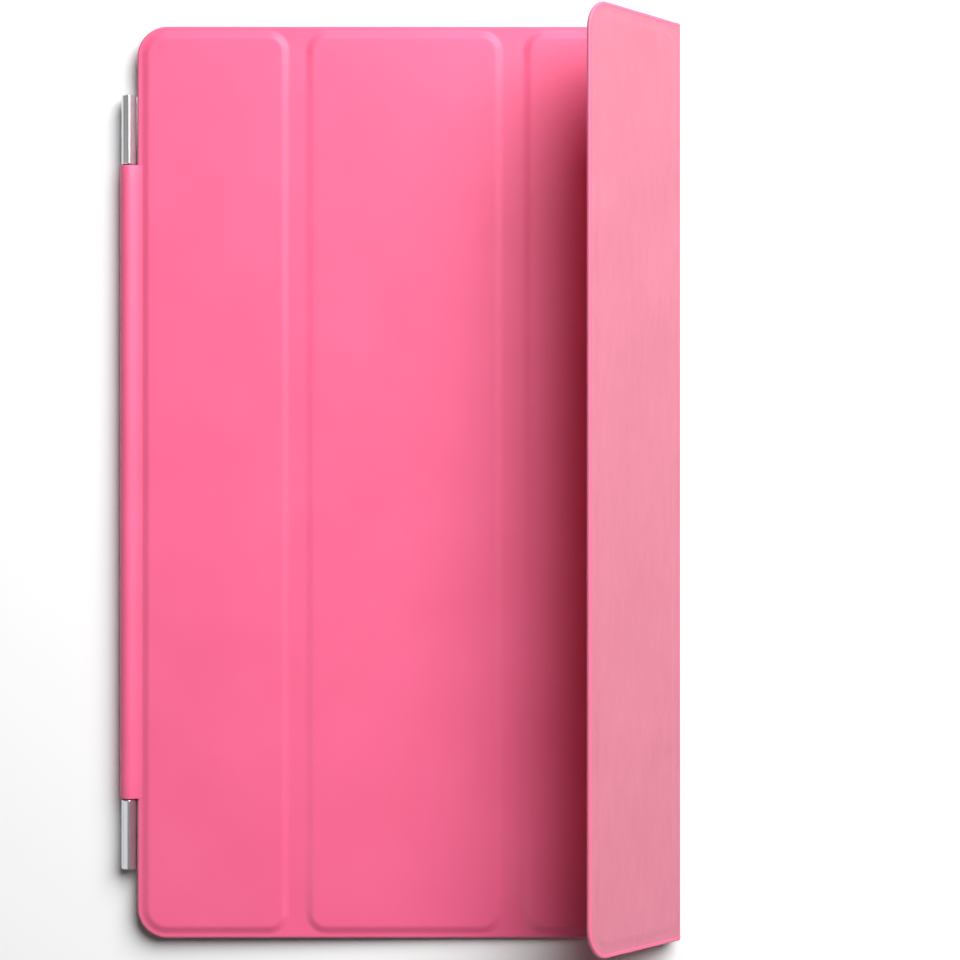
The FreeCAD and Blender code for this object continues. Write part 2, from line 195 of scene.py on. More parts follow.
# Brushed microfibre: short fibres that lie mostly one way, in soft patches.
def napGroup():
    tree, given, out = newGroup(
        "brushedNap",
        [("Position", "NodeSocketVector", None), ("Fibres", "NodeSocketFloat", 5200.0)],
        [("Height", "NodeSocketFloat"), ("Tone", "NodeSocketFloat")],
    )
    lay = node(tree, "ShaderNodeMapping")
    lay.inputs["Rotation"].default_value = (0.0, 0.0, math.radians(24.0))
    lay.inputs["Scale"].default_value = (1.0, 0.28, 1.0)
    joinUp(tree, (given.outputs["Position"], lay.inputs["Vector"]))
    fibre = node(tree, "ShaderNodeTexNoise")
    fibre.inputs["Detail"].default_value = 4.0
    fibre.inputs["Roughness"].default_value = 0.65
    joinUp(tree, (lay.outputs["Vector"], fibre.inputs["Vector"]),
           (given.outputs["Fibres"], fibre.inputs["Scale"]))
    patches = noise(tree, lay.outputs["Vector"], 420.0, 4.0, 0.6)
    broad = noise(tree, given.outputs["Position"], 45.0, 2.0, 0.5)
    height = math2(tree, "ADD", math2(tree, "MULTIPLY", fibre.outputs["Fac"], 0.7),
                   math2(tree, "MULTIPLY", patches, 0.5))
    tone = math2(tree, "ADD", math2(tree, "MULTIPLY", fibre.outputs["Fac"], 0.35),
                 math2(tree, "ADD", math2(tree, "MULTIPLY", patches, 0.35),
                       math2(tree, "MULTIPLY", broad, 0.3)))
    joinUp(tree, (height, out.inputs["Height"]), (tone, out.inputs["Tone"]))
    return tree


# Fine blasted metal or moulded plastic: fine specks, and lines drawn out along y.
def blastedGroup():
    tree, given, out = newGroup(
        "blastedFace",
        [("Position", "NodeSocketVector", None), ("Specks", "NodeSocketFloat", 9000.0)],
        [("Height", "NodeSocketFloat"), ("Tone", "NodeSocketFloat")],
    )
    specks = node(tree, "ShaderNodeTexNoise")
    specks.inputs["Detail"].default_value = 2.0
    joinUp(tree, (given.outputs["Position"], specks.inputs["Vector"]),
           (given.outputs["Specks"], specks.inputs["Scale"]))
    drawn = node(tree, "ShaderNodeMapping")
    drawn.inputs["Scale"].default_value = (1.0, 0.03, 1.0)
    joinUp(tree, (given.outputs["Position"], drawn.inputs["Vector"]))
    lines = noise(tree, drawn.outputs["Vector"], 5200.0, 3.0, 0.6)
    height = math2(tree, "ADD", math2(tree, "MULTIPLY", specks.outputs["Fac"], 0.6),
                   math2(tree, "MULTIPLY", lines, 0.4))
    joinUp(tree, (height, out.inputs["Height"]), (lines, out.inputs["Tone"]))
    return tree


shaderGroups = {"pebble": pebbleGroup(), "nap": napGroup(), "blasted": blastedGroup()}


# A Principled material whose colour, roughness and bump follow one of the shared groups.
def newMaterial(name, groupName, look, position=None):
    material = bpy.data.materials.new(name)
    material.use_nodes = True
    tree = material.node_tree
    shader = tree.nodes["Principled BSDF"]
    if position is None:
        where = node(tree, "ShaderNodeTexCoord").outputs["Object"]
    else:
        where = node(tree, "ShaderNodeAttribute", attribute_name=position).outputs["Vector"]
    grain = node(tree, "ShaderNodeGroup", node_tree=shaderGroups[groupName])
    grain.inputs[1].default_value = look["grain"]
    colour = node(tree, "ShaderNodeValToRGB")
    colour.color_ramp.elements[0].position = 0.3
    colour.color_ramp.elements[1].position = 0.7
    colour.color_ramp.elements[0].color = (*look["dark"], 1.0)
    colour.color_ramp.elements[1].color = (*look["light"], 1.0)
    rough = node(tree, "ShaderNodeMapRange")
    rough.inputs["To Min"].default_value = look["roughness"][0]
    rough.inputs["To Max"].default_value = look["roughness"][1]
    bump = node(tree, "ShaderNodeBump")
    bump.inputs["Strength"].default_value = look["bump"]
    bump.inputs["Distance"].default_value = look["relief"]
    joinUp(tree, (where, grain.inputs["Position"]), (grain.outputs["Tone"], colour.inputs["Fac"]),
           (grain.outputs["Tone"], rough.inputs["Value"]),
           (grain.outputs["Height"], bump.inputs["Height"]),
           (rough.outputs["Result"], shader.inputs["Roughness"]),
           (bump.outputs["Normal"], shader.inputs["Normal"]))
    finish = colour.outputs["Color"]
    # Painted shade: a greyer pink mixed in where the rounded outer edge turns down.
    if "edge" in look:
        edgeShade = node(tree, "ShaderNodeMix", data_type="RGBA")
        mask = node(tree, "ShaderNodeAttribute", attribute_name="edgeMask")
        edgeShade.inputs["B"].default_value = (*look["edge"], 1.0)
        joinUp(tree, (mask.outputs["Fac"], edgeShade.inputs["Factor"]), (finish, edgeShade.inputs["A"]))
        finish = edgeShade.outputs["Result"]
    joinUp(tree, (finish, shader.inputs["Base Color"]))
    for socket, value in look.get("sockets", {}).items():
        shader.inputs[socket].default_value = value
    return material


skinLook = {
    "grain": 2600.0, "dark": (0.85, 0.114, 0.252), "light": (0.88, 0.126, 0.272),
    # Painted shade: the greyer pink laid on the rounded outer edge.
    "edge": (0.70, 0.165, 0.255), "roughness": (0.44, 0.52), "bump": 0.35, "relief": 0.00004,
    "sockets": {"Specular IOR Level": 0.45, "Sheen Weight": 0.06, "Sheen Roughness": 0.4},
}
liningLook = {
    "grain": 5200.0, "dark": (0.49, 0.136, 0.199), "light": (0.565, 0.174, 0.245),
    "roughness": (0.88, 0.97), "bump": 0.6, "relief": 0.00007,
    "sockets": {"Specular IOR Level": 0.2, "Sheen Weight": 0.15, "Sheen Roughness": 0.55},
}
plainLooks = {
    "aluminium": {"grain": 9000.0, "dark": (0.66, 0.67, 0.69), "light": (0.72, 0.73, 0.75),
                  "roughness": (0.31, 0.37), "bump": 0.06, "relief": 0.00001,
                  "sockets": {"Metallic": 1.0}},
    "steel": {"grain": 7000.0, "dark": (0.42, 0.42, 0.43), "light": (0.55, 0.55, 0.56),
              "roughness": (0.3, 0.42), "bump": 0.3, "relief": 0.00001, "sockets": {"Metallic": 1.0}},
    "magnet": {"grain": 8000.0, "dark": (0.56, 0.55, 0.53), "light": (0.68, 0.67, 0.64),
               "roughness": (0.14, 0.22), "bump": 0.15, "relief": 0.00001, "sockets": {"Metallic": 1.0}},
    "board": {"grain": 3000.0, "dark": (0.62, 0.62, 0.59), "light": (0.72, 0.72, 0.69),
              "roughness": (0.5, 0.6), "bump": 0.3, "relief": 0.00003, "sockets": {}},
    "bush": {"grain": 5000.0, "dark": (0.76, 0.74, 0.68), "light": (0.82, 0.80, 0.74),
             "roughness": (0.32, 0.4), "bump": 0.2, "relief": 0.00001, "sockets": {}},
    "strip": {"grain": 4200.0, "dark": (0.74, 0.10, 0.22), "light": (0.80, 0.13, 0.26),
              "roughness": (0.62, 0.7), "bump": 0.35, "relief": 0.00002, "sockets": {}},
}
skinMaterial = newMaterial("polyurethaneSkin", "pebble", skinLook, "unrolled")
liningMaterial = newMaterial("microfibreLining", "nap", liningLook, "unrolled")
plainMaterials = {name: newMaterial(f"{name}Finish", "blasted", look)
                  for name, look in plainLooks.items()}
print("materials ready")

slotOf = {part["node"]: part["material_slot"] for part in frame["record"]["subparts"]}
for name, part in frame["nodes"].items():
    finish = plainMaterials.get(slotOf[name])
    if finish:
        part.data.materials.clear()
        part.data.materials.append(finish)


# Relief of the skin and the lining, as heights over the unrolled flap
skinShape = {
    "padRise": 0.7 * mm, "padSlope": 2.5 * mm, "creaseRise": 0.4 * mm, "creaseRamp": 14.0 * mm,
    "firstSlopeShift": 1.1 * mm, "padCrown": 0.08 * mm, "crownReach": 7.0 * mm,
    "edgeRound": 0.55 * mm, "edgeLevel": 0.62 * mm, "edgeShadeFade": 0.8 * mm,
    "turnUnder": 1.0 * mm, "turnLevel": 0.12 * mm, "turnStep": 0.25 * mm, "underLining": 0.34 * mm,
}
liningShape = {
    "thickness": 0.38 * mm, "inset": 0.85 * mm, "edgeRound": 0.18 * mm, "creaseDip": 0.16 * mm,
    "dipSlope": 2.2 * mm, "dipFade": 0.2 * mm,
}


def smooth(value):
    value = np.clip(value, 0.0, 1.0)
    return value * value * (3.0 - 2.0 * value)


# How far each point is inside a rectangle with rounded corners; below zero outside it.
def insideRounded(u, v, left, right, half, corner):
    qu = np.abs(u - 0.5 * (left + right)) - (0.5 * (right - left) - corner)
    qv = np.abs(v) - (half - corner)
    outside = np.hypot(np.maximum(qu, 0.0), np.maximum(qv, 0.0))
    return corner - outside - np.minimum(np.maximum(qu, qv), 0.0)


def insideFlap(u, v):
    return insideRounded(u, v, wrapRadius, flapEnd, halfHeight, flap["cornerRadius"])


# How far each point is inside the nearest raised pad.
def insidePads(u, v):
    half = halfHeight - flap["rim"]
    depth = np.full(np.shape(u), -1.0)
    outerCorner = flap["cornerRadius"] - flap["rim"]
    for panel in (1, 2, 3, 4):
        corner = np.full(np.shape(u), flap["padCorner"])
        middle = 0.5 * (padLeft[panel] + padRight[panel])
        right = padRight[panel] + (skinShape["firstSlopeShift"] if panel == 1 else 0.0)
        if panel == 1:
            corner = np.where(u < middle, outerCorner, corner)
        if panel == 4:
            corner = np.where(u > middle, outerCorner, corner)
        depth = np.maximum(depth, insideRounded(u, v, padLeft[panel], right, half, corner))
    return depth


# 1 at the very edge, falling to 0 a radius in, along a quarter of a circle.
def quarterRound(depth, radius):
    share = 1.0 - np.clip(depth / radius, 0.0, 1.0)
    return 1.0 - np.sqrt(np.maximum(1.0 - share * share, 0.0))


def skinTop(u, v):
    shape = skinShape
    pad = insidePads(u, v)
    border = insideRounded(u, v, padLeft[1], padRight[4], halfHeight - flap["rim"], flap["padCorner"])
    low = shape["creaseRise"] * smooth(border / shape["creaseRamp"])
    share = smooth(pad / shape["padSlope"] + 0.5)
    height = flap["flangeTop"] + low * (1.0 - share) + shape["padRise"] * share
    height += shape["padCrown"] * (1.0 - np.exp(-np.maximum(pad, 0.0) / shape["crownReach"]))
    drop = flap["flangeTop"] - shape["edgeLevel"]
    return height - drop * quarterRound(insideFlap(u, v), shape["edgeRound"])


def skinUnder(u, v):
    shape = skinShape
    depth = insideFlap(u, v)
    step = smooth((depth - shape["turnUnder"]) / shape["turnStep"])
    height = shape["turnLevel"] + (shape["underLining"] - shape["turnLevel"]) * step
    rise = shape["edgeLevel"] - shape["turnLevel"]
    return height + rise * quarterRound(depth, shape["edgeRound"])


def liningTop(u, v):
    shape = liningShape
    depth = insideFlap(u, v) - shape["inset"]
    return shape["thickness"] - 0.5 * shape["thickness"] * quarterRound(depth, shape["edgeRound"])


def liningUnder(u, v):
    shape = liningShape
    depth = insideFlap(u, v) - shape["inset"]
    pad = insidePads(u, v)
    dip = shape["creaseDip"] * (1.0 - smooth(pad / shape["dipSlope"]))
    dip *= smooth(depth / shape["dipFade"])
    return dip + (0.5 * shape["thickness"] - dip) * quarterRound(depth, shape["edgeRound"])


# Stations of the grids that the closed patches are made on
mesh = {"cornerSteps": 40, "fineStep": 0.22 * mm, "fineReach": 5.2 * mm, "coarseStep": 5.0 * mm,
        "squeeze": 13.0 * mm, "creaseSteps": 16, "weld": 2e-7, "sharpAngle": 50.0, "bendRounds": 80}


def rowStations(half, corner):
    angles = np.linspace(0.0, 0.5 * math.pi, mesh["cornerSteps"] + 1)
    upper = half - corner + corner * np.sin(angles)
    count = int(2.0 * (half - corner) / mesh["coarseStep"])
    middle = np.linspace(-(half - corner), half - corner, count + 1)[1:-1]
    return np.concatenate([-upper[::-1], middle, upper])


def columnStations(left, right, roundLeft, roundRight, corner):
    angles = np.linspace(0.0, 0.5 * math.pi, mesh["cornerSteps"] + 1)
    roundPart = corner * (1.0 - np.cos(angles))
    finePart = np.linspace(0.0, mesh["fineReach"], int(mesh["fineReach"] / mesh["fineStep"]) + 1)
    first = left + (roundPart if roundLeft else finePart)
    last = right - (roundPart if roundRight else finePart)[::-1]
    count = int((last[0] - first[-1]) / mesh["coarseStep"])
    return np.concatenate([first, np.linspace(first[-1], last[0], count + 1)[1:-1], last])


# Grid points over a patch, drawn in at the flap's rounded outer corners.
def patchGrid(columns, rows, half, corner, roundLeft, roundRight):
    u, v = np.meshgrid(columns, rows)
    beyond = np.clip(np.abs(v) - (half - corner), 0.0, corner)
    drawnIn = corner - np.sqrt(np.maximum(corner * corner - beyond * beyond, 0.0))
    if roundLeft:
        share = np.clip(1.0 - (u - columns[0]) / mesh["squeeze"], 0.0, 1.0)
        u = u + drawnIn * share
    if roundRight:
        share = np.clip(1.0 - (columns[-1] - u) / mesh["squeeze"], 0.0, 1.0)
        u = u - drawnIn * share
    return u, v


# A closed mesh between two height fields on one grid, still unrolled.
def closedPatch(name, u, v, top, under, material):
    rows, columns = u.shape
    points = np.concatenate([np.stack([u, v, top], -1).reshape(-1, 3),
                             np.stack([u, v, under], -1).reshape(-1, 3)])
    index = np.arange(rows * columns).reshape(rows, columns)
    quads = np.stack([index[:-1, :-1], index[:-1, 1:], index[1:, 1:], index[1:, :-1]], -1).reshape(-1, 4)
    faces = [quads, quads[:, ::-1] + rows * columns]
    loop = np.concatenate([index[0, :-1], index[:-1, -1], index[-1, :0:-1], index[:0:-1, 0]])
    following = np.roll(loop, -1)
    faces.append(np.stack([following, loop, loop + rows * columns, following + rows * columns], -1))
    made = bpy.data.meshes.new(name)
    made.from_pydata(points.tolist(), [], np.concatenate(faces).tolist())
    work = bmesh.new()
    work.from_mesh(made)
    bmesh.ops.remove_doubles(work, verts=work.verts, dist=mesh["weld"])
    bmesh.ops.dissolve_degenerate(work, dist=mesh["weld"], edges=work.edges)
    bmesh.ops.recalc_face_normals(work, faces=work.faces)
    work.to_mesh(made)
    work.free()
    piece = bpy.data.objects.new(name, made)
    scene.collection.objects.link(piece)
    made.materials.append(material)
    return piece


def shadeSmooth(data, sharpAngle=mesh["sharpAngle"]):
    data.shade_smooth()
    data.set_sharp_from_angle(angle=math.radians(sharpAngle))


# Joins points that meet and turns the faces outwards
def mendMesh(data):
    work = bmesh.new()
    work.from_mesh(data)
    bmesh.ops.remove_doubles(work, verts=work.verts, dist=0.5 * mesh["weld"])
    bmesh.ops.recalc_face_normals(work, faces=work.faces)
    work.to_mesh(data)
    work.free()


def unrolledPoints(piece):
    points = np.zeros(len(piece.data.vertices) * 3)
    piece.data.vertices.foreach_get("co", points)
    return points.reshape(-1, 3)


# Keeps the unrolled place for the patterns, marks the outer edge for its painted shade, and moves the mesh into
# place.
def finishSurface(piece, points):
    data = piece.data
    flat = unrolledPoints(piece)
    data.attributes.new("unrolled", "FLOAT_VECTOR", "POINT").data.foreach_set("vector", flat.ravel())
    # Painted shade mask: 1 at the outer edge, fading out a short way in.
    edge = 1.0 - smooth(insideFlap(flat[:, 0], flat[:, 1]) / skinShape["edgeShadeFade"])
    data.attributes.new("edgeMask", "FLOAT", "POINT").data.foreach_set("value", edge)
    data.vertices.foreach_set("co", points.ravel())
    shadeSmooth(data)
    data.update()


layers = {
    "skin": {"top": skinTop, "under": skinUnder, "inset": 0.0,
             "material": skinMaterial, "slot": "cover_skin"},
    "lining": {"top": liningTop, "under": liningUnder, "inset": liningShape["inset"],
               "material": liningMaterial, "slot": "lining"},
}


def layerPatch(name, layer, left, right, roundLeft=False, roundRight=False, steps=None):
    facts = layers[layer]
    half, corner = halfHeight - facts["inset"], flap["cornerRadius"] - facts["inset"]
    if steps:
        columns = np.linspace(left, right, steps + 1)
    else:
        columns = columnStations(left, right, roundLeft, roundRight, corner)
    u, v = patchGrid(columns, rowStations(half, corner), half, corner, roundLeft, roundRight)
    return closedPatch(name, u, v, facts["top"](u, v), facts["under"](u, v), facts["material"])


def panelEnds(panel, layer):
    inset = layers[layer]["inset"]
    left = padLeft[panel] if panel > 1 else wrapRadius + inset
    right = padRight[panel] if panel < 4 else flapEnd - inset
    return left, right


def makePanel(panel, layer):
    left, right = panelEnds(panel, layer)
    piece = layerPatch(f"panel_{panel}_{layer}_soft", layer, left, right, panel == 1, panel == 4)
    u, v, w = unrolledPoints(piece).T
    fold = restFold if panel == 4 else 0.0
    finishSurface(piece, inRow(u, v, w, fold, fold))
    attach(piece, f"panel_{panel}")
    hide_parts(f"panel_{panel}_{layer}")
    return piece


# How far each point of a strip has turned, from 0 to 1, where its turn and its place depend on each
# other: a point's share is read from its place along the middle line of the fold.
def bendShare(s, h, fold, reach):
    share = smooth((s + reach) / (2.0 * reach))
    for attempt in range(mesh["bendRounds"]):
        lean = (share - 0.5) * fold
        place = s * np.cos(lean) - h * np.sin(lean)
        share = 0.5 * share + 0.5 * smooth((place + reach) / (2.0 * reach))
    return share


# Half of a crease strip, which bends about its own line between a panel and the strip's middle.
def makeCreaseHalf(crease, side, layer):
    centre = bendAt[crease, side]
    piece = layerPatch(f"crease_{crease}_{layer}_{side}", layer, centre - quarter, centre + quarter,
                       steps=mesh["creaseSteps"])
    u, v, w = unrolledPoints(piece).T
    fold = restFold if crease == 3 else 0.0
    reach = quarter * math.cos(0.5 * fold)
    share = bendShare(u - centre, w - flap["flangeTop"], fold, reach)
    firstFold = fold if side == "right" else 0.0
    u, w = turned(u, w, centre, share * fold)
    finishSurface(piece, inRow(u, v, w, firstFold))
    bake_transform(piece)
    if side == "left":
        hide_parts(f"crease_{crease}_{layer}")
    return piece


for panel in (1, 2, 3, 4):
    makePanel(panel, "skin")
creaseLinings = {crease: [] for crease in (1, 2, 3)}
for crease in (1, 2, 3):
    for side in ("left", "right"):
        makeCreaseHalf(crease, side, "skin")
        creaseLinings[crease].append(makeCreaseHalf(crease, side, "lining"))
for panel in (1, 2, 3, 4):
    lining = makePanel(panel, "lining")
print("skin, linings and creases made")


# The skin rolled round the hinge tube
wrapShape = {"arcSteps": 56, "hollowSteps": 16, "rings": 33, "endSteps": 4, "endRound": 0.25 * mm,
             "blendTo": 4.35 * mm, "overFlange": 0.03 * mm, "leaveAngle": 62.0, "tuckAngle": 8.0,
             "tuckIn": 0.7 * mm}


# Section across the hinge: round the tube from under the lining to the crest, then down in a soft
# hollow on to the first panel's border.
def wrapOutline():
    shape = wrapShape
    start, end = math.radians(shape["leaveAngle"]), math.radians(360.0 + shape["tuckAngle"])
    angles = np.linspace(start, end, shape["arcSteps"] + 1)
    arc = np.stack([wrapRadius * np.cos(angles), wrapRadius * np.sin(angles)], -1)
    top = flap["flangeTop"] + lift + shape["overFlange"]
    first, last = arc[0], np.array([shape["blendTo"], top])
    leaving = np.array([math.sin(start), -math.cos(start)])
    share = np.linspace(0.0, 1.0, shape["hollowSteps"] + 1)[:, None]
    bend = first + leaving * (first[1] - top) / max(-leaving[1], 1e-3)
    hollow = (1 - share) ** 2 * first + 2 * share * (1 - share) * bend + share ** 2 * last
    inner = last - np.array([0.0, shape["tuckIn"]])
    under = np.array([wrapRadius + shape["tuckIn"], inner[1]])
    return np.concatenate([hollow[::-1][:-1], arc, [under, inner]])


def makeTubeWrap():
    outline = wrapOutline()
    reach = np.linalg.norm(outline, axis=1, keepdims=True)
    rings = []
    middle = [(wrapHalf * t, 0.0) for t in np.linspace(-1.0, 1.0, wrapShape["rings"] + 2)[1:-1]]
    endRound = wrapShape["endRound"]
    angles = np.linspace(0.5 * math.pi, 0.0, wrapShape["endSteps"] + 1)
    lower = [(endRound * (1.0 - math.sin(a)) - wrapHalf, endRound * (1.0 - math.cos(a))) for a in angles]
    for y, inset in lower + middle + [(-y, inset) for y, inset in lower[::-1]]:
        section = outline * (1.0 - inset / np.maximum(reach, wrapRadius))
        rings.append(np.stack([section[:, 0], np.full(len(section), y), section[:, 1] - lift], -1))
    count = len(outline)
    points = np.concatenate(rings)
    faces = []
    for ring in range(len(rings) - 1):
        for side in range(count):
            a, b = ring * count + side, ring * count + (side + 1) % count
            faces.append((a, b, b + count, a + count))
    faces.append(tuple(range(count)))
    faces.append(tuple(range(len(points) - count, len(points)))[::-1])
    data = bpy.data.meshes.new("hinge_wrap")
    data.from_pydata(points.tolist(), [], faces)
    mendMesh(data)
    piece = bpy.data.objects.new("hinge_wrap", data)
    scene.collection.objects.link(piece)
    data.materials.append(skinMaterial)
    u, v, w = unrolledPoints(piece).T
    finishSurface(piece, inRow(u, v, w))
    # The tube wrap gets none of the painted edge shade.
    data.attributes["edgeMask"].data.foreach_set("value", np.zeros(len(data.vertices)))
    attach(piece, "panel_1")
    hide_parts("tube_wrap")


makeTubeWrap()


# A rod along y with rounded ends. Its rings crowd together towards both ends.
def roundedRodTree():
    tree = bpy.data.node_groups.new("roundedRod", "GeometryNodeTree")
    inputs = [("Radius", "NodeSocketFloat", 0.002), ("Length", "NodeSocketFloat", 0.02),
              ("End Round", "NodeSocketFloat", 0.0003), ("Rings", "NodeSocketInt", 64),
              ("Sides", "NodeSocketInt", 64), ("Material", "NodeSocketMaterial", None)]
    tree.interface.new_socket("Geometry", in_out="INPUT", socket_type="NodeSocketGeometry")
    for label, kind, value in inputs:
        socket = tree.interface.new_socket(label, in_out="INPUT", socket_type=kind)
        if value is not None:
            socket.default_value = value
    tree.interface.new_socket("Geometry", in_out="OUTPUT", socket_type="NodeSocketGeometry")
    given, out = tree.nodes.new("NodeGroupInput"), tree.nodes.new("NodeGroupOutput")
    half = math2(tree, "MULTIPLY", given.outputs["Length"], 0.5)
    line = node(tree, "GeometryNodeCurvePrimitiveLine")
    line.inputs["End"].default_value = (0.0, 1.0, 0.0)
    rings = node(tree, "GeometryNodeResampleCurve")
    factor = node(tree, "GeometryNodeSplineParameter").outputs["Factor"]
    swing = math2(tree, "MULTIPLY", math2(tree, "SUBTRACT", factor, 0.5), math.pi)
    place = node(tree, "ShaderNodeCombineXYZ")
    move = node(tree, "GeometryNodeSetPosition")
    joinUp(tree, (line.outputs[0], rings.inputs["Curve"]), (given.outputs["Rings"], rings.inputs["Count"]),
           (math2(tree, "MULTIPLY", math2(tree, "SINE", swing), half), place.inputs["Y"]),
           (rings.outputs[0], move.inputs["Geometry"]), (place.outputs[0], move.inputs["Position"]))
    spot = node(tree, "ShaderNodeSeparateXYZ")
    joinUp(tree, (node(tree, "GeometryNodeInputPosition").outputs[0], spot.inputs[0]))
    shoulder = math2(tree, "SUBTRACT", half, given.outputs["End Round"])
    beyond = math2(tree, "SUBTRACT", math2(tree, "ABSOLUTE", spot.outputs["Y"]), shoulder)
    past = math2(tree, "MAXIMUM", beyond, 0.0)
    endRound = given.outputs["End Round"]
    squares = math2(tree, "SUBTRACT", math2(tree, "MULTIPLY", endRound, endRound),
                    math2(tree, "MULTIPLY", past, past))
    fall = math2(tree, "SQRT", math2(tree, "MAXIMUM", squares, 0.0))
    radius = math2(tree, "ADD", math2(tree, "SUBTRACT", given.outputs["Radius"], endRound), fall)
    circle = node(tree, "GeometryNodeCurvePrimitiveCircle")
    circle.inputs["Radius"].default_value = 1.0
    skin = node(tree, "GeometryNodeCurveToMesh")
    skin.inputs["Fill Caps"].default_value = True
    real = node(tree, "GeometryNodeRealizeInstances")
    finish = node(tree, "GeometryNodeSetMaterial")
    joinUp(tree, (move.outputs[0], skin.inputs["Curve"]), (radius, skin.inputs["Scale"]),
           (given.outputs["Sides"], circle.inputs["Resolution"]),
           (circle.outputs[0], skin.inputs["Profile Curve"]), (skin.outputs[0], real.inputs[0]),
           (real.outputs[0], finish.inputs["Geometry"]),
           (given.outputs["Material"], finish.inputs["Material"]), (finish.outputs[0], out.inputs[0]))
    return tree


rodTree = roundedRodTree()
rodInputs = {item.name: item.identifier for item in rodTree.interface.items_tree if item.in_out == "INPUT"}


# One rod from the tree, as a plain mesh with its place in its points.
def turnedRod(name, centre, values):
    holder = bpy.data.objects.new(name, bpy.data.meshes.new(name))
    scene.collection.objects.link(holder)
    modifier = holder.modifiers.new("rod", "NODES")
    modifier.node_group = rodTree
    for label, value in values.items():
        modifier[rodInputs[label]] = value
    graph = bpy.context.evaluated_depsgraph_get()
    data = bpy.data.meshes.new_from_object(holder.evaluated_get(graph), depsgraph=graph)
    holder.modifiers.remove(modifier)
    holder.data = data
    data.name = name
    data.transform(Matrix.Translation(Vector(centre)))
    mendMesh(data)
    shadeSmooth(data)
    return holder


bevelSteps = 4


# Adds a box with rounded edges to a mesh.
def bevelledBlock(data, low, high, width):
    work = bmesh.new()
    work.from_mesh(data)
    size, middle = high - low, 0.5 * (high + low)
    matrix = Matrix.Translation(middle) @ Matrix.Diagonal((*size, 1.0))
    cube = bmesh.ops.create_cube(work, size=1.0, matrix=matrix)
    edges = list({edge for vertex in cube["verts"] for edge in vertex.link_edges})
    bmesh.ops.bevel(work, geom=edges, offset=width, segments=bevelSteps, profile=0.5, affect="EDGES")
    bmesh.ops.recalc_face_normals(work, faces=work.faces)
    work.to_mesh(data)
    work.free()


knuckle = {"endRound": 0.35 * mm, "footBevel": 0.15 * mm, "footStart": 0.2 * mm, "sides": 96, "rings": 72,
           "flatAngle": 46.0, "flatDepth": 0.27 * mm, "sharpAngle": 20.0}


# Takes the flat off a knuckle that faces the flap's edge and clears it.
def cutFlat(data, centre, radius):
    angle = math.radians(knuckle["flatAngle"])
    normal = Vector((math.sin(angle), 0.0, math.cos(angle)))
    work = bmesh.new()
    work.from_mesh(data)
    everything = list(work.verts) + list(work.edges) + list(work.faces)
    cut = bmesh.ops.bisect_plane(work, geom=everything, dist=1e-8, plane_no=normal, clear_outer=True,
                                 plane_co=Vector(centre) + normal * (radius - knuckle["flatDepth"]))
    rim = [part for part in cut["geom_cut"] if isinstance(part, bmesh.types.BMEdge)]
    bmesh.ops.contextual_create(work, geom=rim)
    bmesh.ops.recalc_face_normals(work, faces=work.faces)
    work.to_mesh(data)
    work.free()


def makeKnuckle(which):
    low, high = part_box(f"{which}_lug")
    radius = float(hinge[0] - low.x)
    centre = (hinge[0], 0.5 * (low.y + high.y), hinge[2])
    piece = turnedRod(f"{which}_knuckle", centre, {
        "Radius": radius, "Length": high.y - low.y, "End Round": knuckle["endRound"],
        "Rings": knuckle["rings"], "Sides": knuckle["sides"], "Material": plainMaterials["aluminium"]})
    cutFlat(piece.data, centre, radius)
    barLow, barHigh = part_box("spine_bar")
    inset = knuckle["footBevel"]
    footLow = Vector((hinge[0] + knuckle["footStart"], low.y + inset, low.z))
    footHigh = Vector((barLow.x + inset, high.y - inset, barHigh.z))
    bevelledBlock(piece.data, footLow, footHigh, inset)
    shadeSmooth(piece.data, knuckle["sharpAngle"])
    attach(piece, "spine")
    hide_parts(f"{which}_lug")


pinHead = {"proud": 0.12 * mm, "endRound": 0.2 * mm, "sides": 32, "rings": 90}


def makePin():
    low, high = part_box("hinge_pin")
    lugLow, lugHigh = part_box("upper_lug")
    length = 2.0 * (lugHigh.y + pinHead["proud"])
    piece = turnedRod("hinge_pin_turned", tuple(hinge), {
        "Radius": 0.5 * (high.x - low.x), "Length": length, "End Round": pinHead["endRound"],
        "Rings": pinHead["rings"], "Sides": pinHead["sides"], "Material": plainMaterials["steel"]})
    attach(piece, "spine")
    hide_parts("hinge_pin")


bar = {"bevel": 0.22 * mm, "stripBevel": 0.08 * mm}


def makeBlock(name, source, width, slot):
    low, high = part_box(source)
    data = bpy.data.meshes.new(name)
    bevelledBlock(data, low, high, width)
    shadeSmooth(data)
    data.materials.append(plainMaterials[slot])
    piece = bpy.data.objects.new(name, data)
    scene.collection.objects.link(piece)
    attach(piece, "spine")
    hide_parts(source)


for which in ("upper", "lower"):
    makeKnuckle(which)
makePin()
makeBlock("spine_bar_rounded", "spine_bar", bar["bevel"], "aluminium")
makeBlock("magnet_strip_soft", "magnet_cover_strip", bar["stripBevel"], "strip")
print("hinge and spine made")


studio = {
    "floorSize": 6.0, "floorColour": (0.95, 0.95, 0.95), "floorRoughness": 0.9,
    "worldColour": (1.0, 0.98, 1.0), "horizon": 0.62, "overhead": 0.036, "horizonReach": 0.4,
    "reflectorDistance": 1.2, "reflectorSize": 1.5, "reflectorPower": 5.2,
    "reflectorFrom": (-0.8, -0.4, 0.75),
    "keyDistance": 1.0, "keySize": 0.95, "keyPower": 20.0, "keyFrom": (0.60, 0.78, 1.0),
    "cameraAcross": 93.0 * mm, "cameraUp": 0.55 * mm, "cameraHeight": 660.0 * mm,
    "fieldLevel": 2.0 * mm, "fieldWidth": 253.6 * mm, "cameraShift": 0.05,
}


def flapPoint(u, v, w):
    return Vector(hinge + u * across + v * along + (w + lift) * outward)


